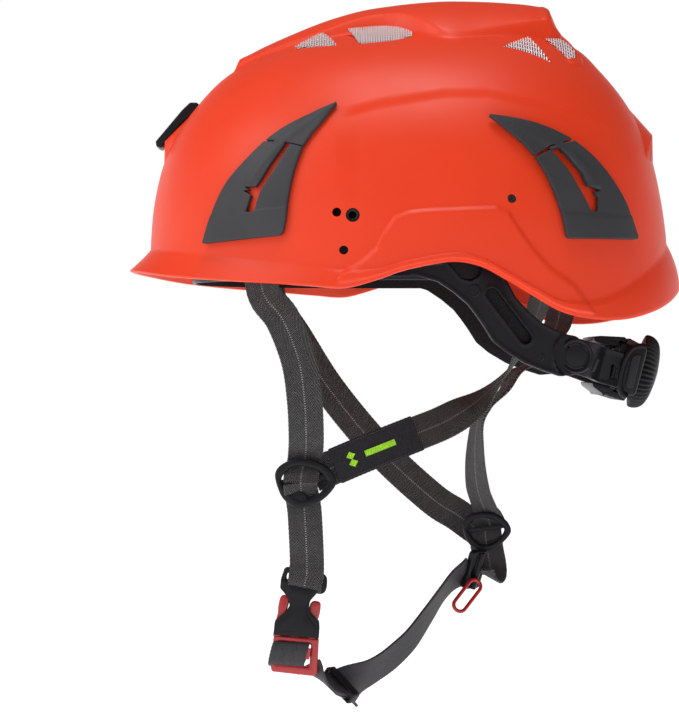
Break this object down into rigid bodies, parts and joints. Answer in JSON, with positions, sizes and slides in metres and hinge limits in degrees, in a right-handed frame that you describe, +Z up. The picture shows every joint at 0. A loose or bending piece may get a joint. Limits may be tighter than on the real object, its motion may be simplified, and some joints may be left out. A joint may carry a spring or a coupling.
{
  "type": "arborist helmet",
  "caption": "Hard-shell climbing helmet with crown vents, headlamp clips, webbing suspension, dial-adjusted nape unit and buckled chin harness.",
  "frame": {"origin": "middle of the head at brim height, where the helmet sits on the wearer", "axes": "+Z up, -Y to the brow, +X to the wearer's left"},
  "size_m": [0.2144, 0.2937, 0.3722],
  "materials": {
    "shell": "satin",
    "silver_mesh": "woven mesh",
    "clip_grey": "fine texture",
    "black_plastic": "satin",
    "webbing": "herringbone weave",
    "label": "woven patch",
    "red_plastic": "gloss",
    "pad_foam": "soft knit over foam",
    "gear_plastic": "natural acetal",
    "screw_steel": "brushed",
    "rubber_grip": "ribbed"
  },
  "bodies": {
    "root": {"shell": "shell", "vent_mesh_front_left": "silver_mesh", "vent_mesh_front_right": "silver_mesh", "vent_mesh_rear_left": "silver_mesh", "vent_mesh_rear_right": "silver_mesh", "clip_tip_front_left": "clip_grey", "clip_tip_front_right": "clip_grey", "clip_tip_rear_left": "clip_grey", "clip_tip_rear_right": "clip_grey", "front_lamp_hook": "black_plastic", "accessory_bush_left": "black_plastic", "accessory_bush_right": "black_plastic", "headband": "black_plastic", "brow_pad": "pad_foam", "crown_strap_front": "webbing", "crown_strap_middle": "webbing", "crown_strap_rear": "webbing", "suspension_keys": "black_plastic", "nape_arm_left": "black_plastic", "nape_arm_right": "black_plastic", "arm_rivets": "black_plastic", "front_anchor_left": "black_plastic", "front_anchor_right": "black_plastic", "rear_anchor_left": "black_plastic", "rear_anchor_right": "black_plastic", "front_strap_left": "webbing", "front_strap_right": "webbing", "rear_strap_left": "webbing", "rear_strap_right": "webbing", "label_patch": "label", "lower_strap_left": "webbing", "lower_strap_right": "webbing", "buckle_body": "black_plastic", "chin_strap": "webbing", "chin_adjuster": "black_plastic"},
    "flap_front_left": {"clip_flap_front_left": "clip_grey"},
    "flap_front_right": {"clip_flap_front_right": "clip_grey"},
    "flap_rear_left": {"clip_flap_rear_left": "clip_grey"},
    "flap_rear_right": {"clip_flap_rear_right": "clip_grey"},
    "nape_bands": {"size_band_left": "black_plastic", "size_band_right": "black_plastic", "pivot_buttons": "black_plastic"},
    "nape_unit": {"nape_housing": "black_plastic", "nape_cover": "black_plastic", "nape_pad": "pad_foam"},
    "dial": {"knob": "rubber_grip", "pinion": "gear_plastic", "knob_screw": "screw_steel"},
    "rack_left": {"rack_left": "gear_plastic"},
    "rack_right": {"rack_right": "gear_plastic"},
    "slider_left": {"slider_left": "black_plastic"},
    "slider_right": {"slider_right": "black_plastic"},
    "insert": {"buckle_insert": "red_plastic"},
    "prong_front": {"buckle_prong_front": "red_plastic"},
    "prong_rear": {"buckle_prong_rear": "red_plastic"},
    "keeper": {"strap_keeper": "black_plastic"},
    "ring": {"adjuster_ring": "red_plastic"}
  },
  "joints": [
    {"name": "clip_front_left_lift", "type": "hinge", "parent": "root", "child": "flap_front_left", "pos_m": [0.08992, -0.06307, 0.06372], "axis": [-0.3905, -0.9024, 0.182], "range_deg": [0, 22], "stiffness_Nm_per_rad": 0.3},
    {"name": "clip_front_right_lift", "type": "hinge", "parent": "root", "child": "flap_front_right", "pos_m": [-0.08992, -0.06307, 0.06372], "axis": [-0.3905, 0.9024, -0.182], "range_deg": [0, 22], "stiffness_Nm_per_rad": 0.3},
    {"name": "clip_rear_left_lift", "type": "hinge", "parent": "root", "child": "flap_rear_left", "pos_m": [0.0877, 0.0744, 0.06176], "axis": [0.457, -0.8155, -0.3552], "range_deg": [0, 22], "stiffness_Nm_per_rad": 0.3},
    {"name": "clip_rear_right_lift", "type": "hinge", "parent": "root", "child": "flap_rear_right", "pos_m": [-0.0877, 0.0744, 0.06176], "axis": [0.457, 0.8155, 0.3552], "range_deg": [0, 22], "stiffness_Nm_per_rad": 0.3},
    {"name": "nape_tilt", "type": "hinge", "parent": "root", "child": "nape_bands", "pos_m": [0, 0.0868, -0.0435], "axis": [1, 0, 0], "range_deg": [-15, 15]},
    {"name": "nape_slide", "type": "slide", "parent": "nape_bands", "child": "nape_unit", "axis": [0, 0.9659, -0.2588], "range_m": [-0.006, 0.006]},
    {"name": "dial_turn", "type": "hinge", "parent": "nape_unit", "child": "dial", "pos_m": [0, 0.1278, -0.052], "axis": [0, 0.9659, -0.2588], "range_deg": [-115, 115]},
    {"name": "rack_left_travel", "type": "slide", "parent": "nape_unit", "child": "rack_left", "axis": [1, 0, 0], "range_m": [-0.0102, 0.0102]},
    {"name": "rack_right_travel", "type": "slide", "parent": "nape_unit", "child": "rack_right", "axis": [-1, 0, 0], "range_m": [-0.0102, 0.0102]},
    {"name": "slider_left_travel", "type": "slide", "parent": "root", "child": "slider_left", "axis": [0.1191, 0.0099, 0.9928], "range_m": [-0.008, 0.008], "deforming": ["front_strap_left", "rear_strap_left", "lower_strap_left"]},
    {"name": "slider_right_travel", "type": "slide", "parent": "root", "child": "slider_right", "axis": [-0.0502, -0.5517, 0.8325], "range_m": [0, 0.008], "deforming": ["front_strap_right", "rear_strap_right", "lower_strap_right"]},
    {"name": "buckle_release", "type": "slide", "parent": "root", "child": "insert", "axis": [0, -0.1874, -0.9823], "range_m": [0, 0.03], "deforming": ["chin_strap"]},
    {"name": "prong_front_squeeze", "type": "hinge", "parent": "insert", "child": "prong_front", "pos_m": [0.06, -0.06653, -0.1881], "axis": [-1, 0, 0], "range_deg": [0, 6], "stiffness_Nm_per_rad": 0.3},
    {"name": "prong_rear_squeeze", "type": "hinge", "parent": "insert", "child": "prong_rear", "pos_m": [0.06, -0.04983, -0.19128], "axis": [1, 0, 0], "range_deg": [0, 6], "stiffness_Nm_per_rad": 0.3},
    {"name": "keeper_slide", "type": "slide", "parent": "insert", "child": "keeper", "axis": [-0.7591, 0.6506, -0.0217], "range_m": [-0.002, 0.012]},
    {"name": "ring_swing", "type": "hinge", "parent": "root", "child": "ring", "pos_m": [-0.0302, 0.0402, -0.1684], "axis": [0.9151, 0.3027, 0.2664], "range_deg": [-20, 20]}
  ],
  "couplings": [
    {"joint": "dial_turn", "follows": "nape_slide", "rad_per_m": -333.33},
    {"joint": "rack_left_travel", "follows": "nape_slide", "ratio": -1.6667},
    {"joint": "rack_right_travel", "follows": "nape_slide", "ratio": -1.6667}
  ]
}
